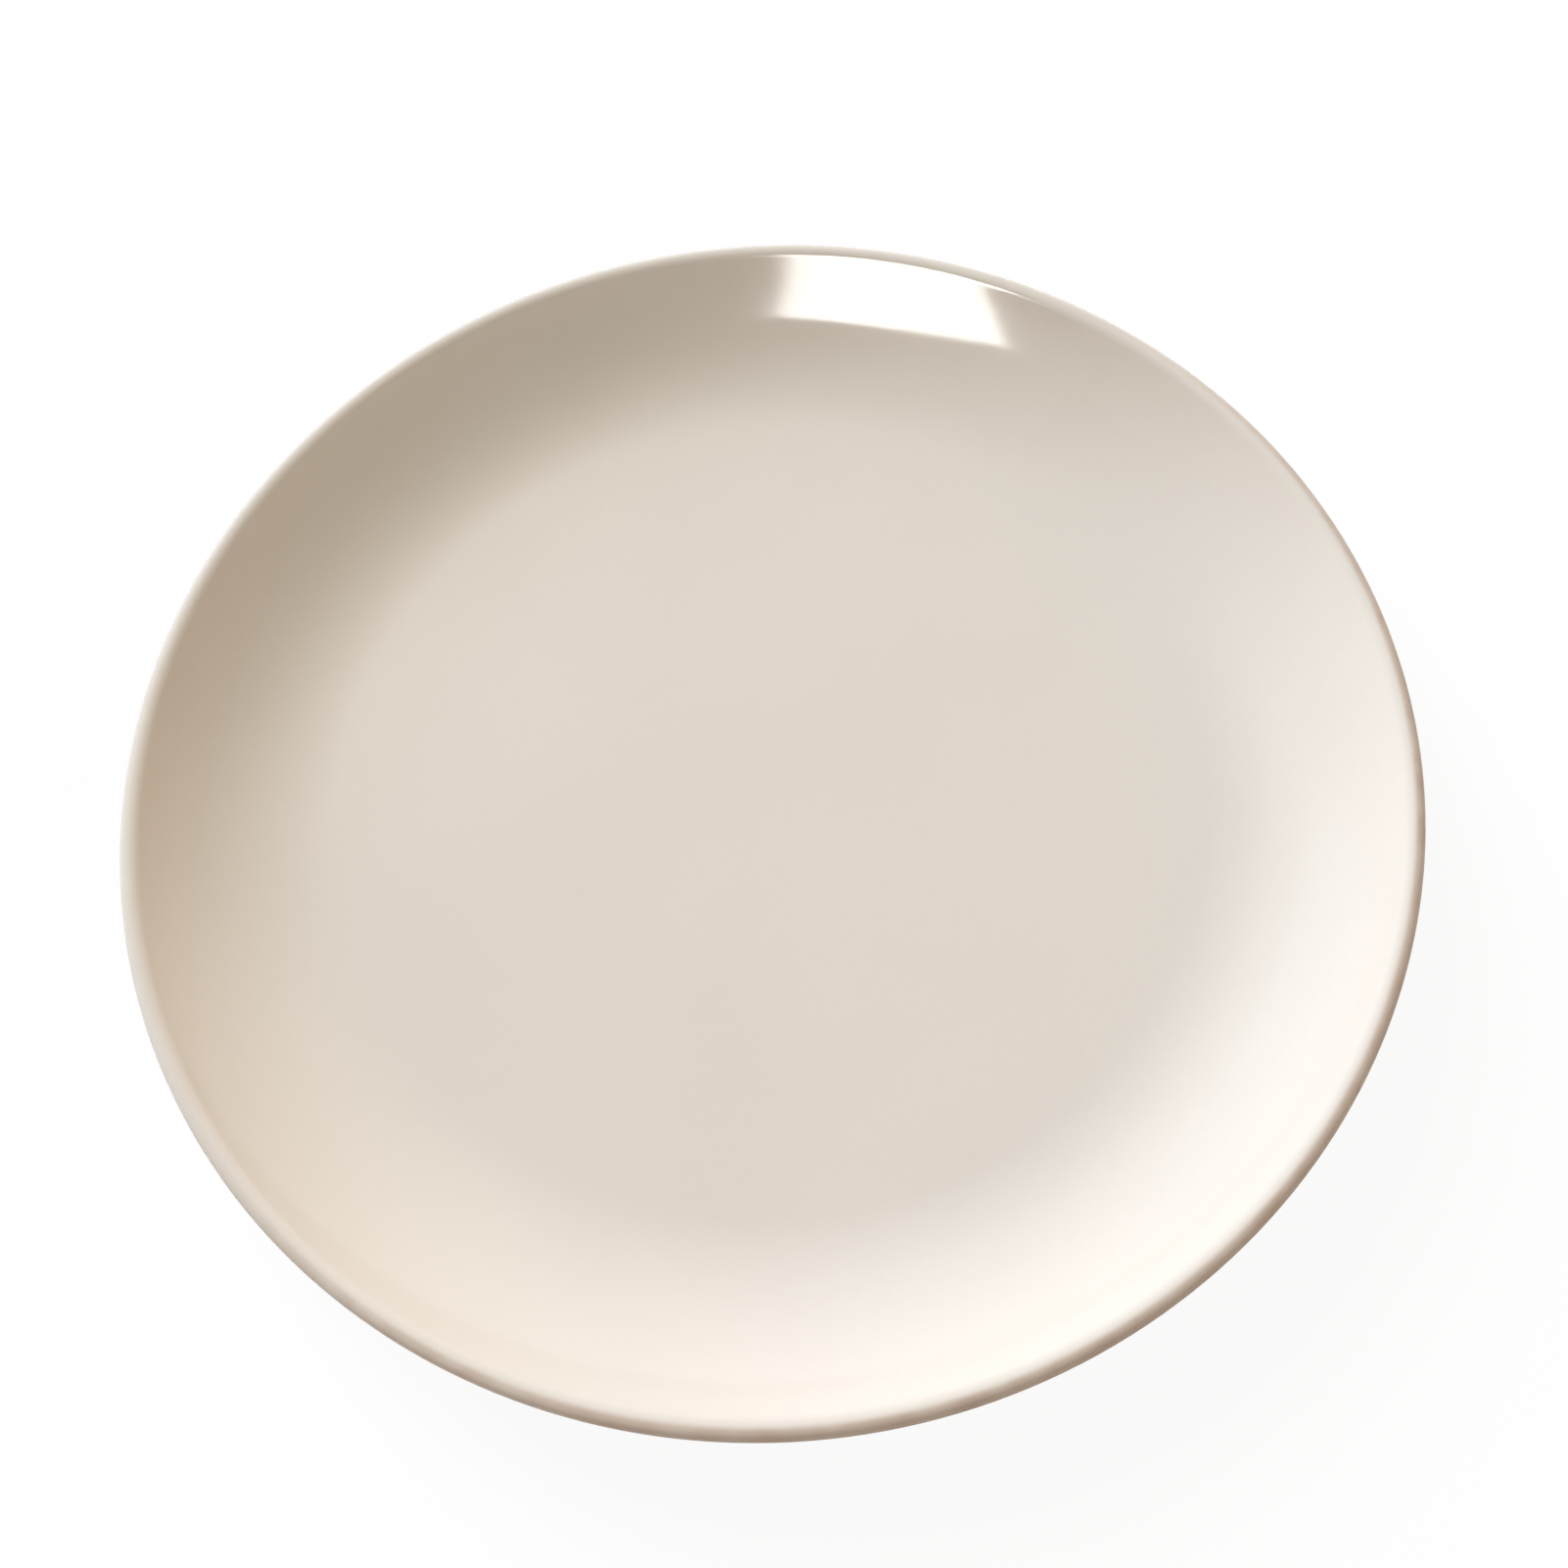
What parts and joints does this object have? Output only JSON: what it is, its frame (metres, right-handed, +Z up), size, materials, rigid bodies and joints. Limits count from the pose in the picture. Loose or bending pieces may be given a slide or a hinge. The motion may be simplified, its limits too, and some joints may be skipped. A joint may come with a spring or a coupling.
{
  "type": "fruit plate",
  "caption": "Round coupe fruit plate in cream gloss glaze: a flat well, a wall that curves up to a rounded lip, and a bare foot ring to stand on.",
  "frame": {"origin": "centre of the tread of the foot ring, on the surface that the plate stands on", "axes": "+Z up along the plate's axis; X and Y lie in the plane of the tread, and any turn about Z is the same"},
  "size_m": [0.205, 0.205, 0.0217],
  "materials": {
    "cream_glaze": "high gloss, even cream",
    "bare_clay": "matt, bare fired clay"
  },
  "bodies": {
    "root": {"ceramic_body": "bare_clay", "dish_glaze": "cream_glaze", "base_glaze": "cream_glaze"}
  },
  "joints": []
}
